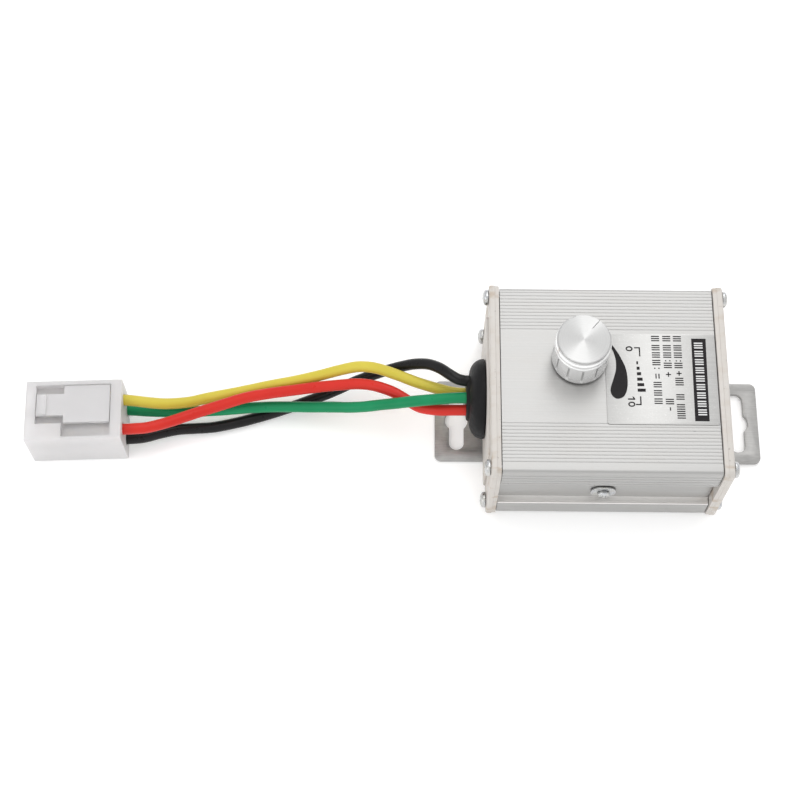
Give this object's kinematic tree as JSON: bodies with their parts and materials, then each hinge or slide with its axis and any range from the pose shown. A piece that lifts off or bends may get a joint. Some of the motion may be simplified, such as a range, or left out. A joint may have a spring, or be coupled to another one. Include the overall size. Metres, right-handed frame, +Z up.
{
  "type": "electronic speed controller",
  "caption": "Brushed DC motor speed controller: ribbed aluminium case with slotted mounting ears, turning speed knob on top, and a short four-wire lead to a latching nylon connector.",
  "frame": {"origin": "middle of the underside of the mounting plate, midway between the two slotted ears", "axes": "+X along the extruded case from the cable end to the blank end; +Y towards the back, away from the side with the channel screw; +Z up through the knob's face"},
  "size_m": [0.2575, 0.07, 0.0565],
  "materials": {
    "extruded_aluminium": "extruded, plain, finely lined along its length",
    "cast_aluminium": "die cast, tumbled, slightly dusty",
    "sheet_steel": "brushed zinc-coated sheet",
    "zinc_plate": "bright zinc plate",
    "knob_aluminium": "spun and bright turned",
    "black_rubber": "satin moulded",
    "label_film": "silver polyester film with black print",
    "board_green": "solder mask",
    "heat_bar_aluminium": "milled",
    "moulded_black": "moulded epoxy",
    "capacitor_sleeve": "shrunk sleeve",
    "pot_steel": "pressed steel",
    "insert_plastic": "moulded",
    "nylon": "natural translucent nylon",
    "terminal_brass": "stamped",
    "wire_black": "soft PVC insulation",
    "wire_green": "soft PVC insulation",
    "wire_red": "soft PVC insulation",
    "wire_yellow": "soft PVC insulation"
  },
  "bodies": {
    "case": {"housing": "extruded_aluminium", "cable_end_plate": "cast_aluminium", "blank_end_plate": "cast_aluminium", "mounting_plate": "sheet_steel", "cable_end_screw_1": "zinc_plate", "cable_end_screw_2": "zinc_plate", "cable_end_screw_3": "zinc_plate", "cable_end_screw_4": "zinc_plate", "blank_end_screw_1": "zinc_plate", "blank_end_screw_2": "zinc_plate", "blank_end_screw_3": "zinc_plate", "blank_end_screw_4": "zinc_plate", "side_screw": "zinc_plate", "side_washer": "zinc_plate", "plate_screw_1": "zinc_plate", "plate_screw_2": "zinc_plate", "clamp_screw_1": "zinc_plate", "clamp_screw_2": "zinc_plate", "clamp_screw_3": "zinc_plate", "bushing_nut": "zinc_plate", "bushing_washer": "zinc_plate", "grommet": "black_rubber", "label": "label_film", "circuit_board": "board_green", "heat_bar": "heat_bar_aluminium", "mosfet_1": "moulded_black", "mosfet_2": "moulded_black", "flyback_diode": "moulded_black", "control_ic": "moulded_black", "capacitor_1": "capacitor_sleeve", "capacitor_2": "capacitor_sleeve", "potentiometer": "pot_steel", "connector_housing": "nylon", "terminal_1": "terminal_brass", "terminal_2": "terminal_brass", "terminal_3": "terminal_brass", "terminal_4": "terminal_brass", "wire_black": "wire_black", "inner_lead_black": "wire_black", "pot_lead_2": "wire_black", "wire_green": "wire_green", "inner_lead_green": "wire_green", "wire_red": "wire_red", "inner_lead_red": "wire_red", "pot_lead_1": "wire_red", "pot_lead_3": "wire_red", "wire_yellow": "wire_yellow", "inner_lead_yellow": "wire_yellow"},
    "knob": {"knob": "knob_aluminium", "knob_insert": "insert_plastic", "pot_shaft": "knob_aluminium"},
    "latch": {"connector_latch": "nylon"}
  },
  "joints": [
    {"name": "knob_turn", "type": "hinge", "parent": "case", "child": "knob", "pos_m": [-0.0099, 0.007, 0.041], "axis": [0, 0, -1], "range_deg": [0, 300]},
    {"name": "latch_press", "type": "hinge", "parent": "case", "child": "latch", "pos_m": [-0.18657, -0.00325, 0.019], "axis": [-0.0401, 0.9992, 0], "range_deg": [0, 3.5], "stiffness_Nm_per_rad": 0.6}
  ]
}
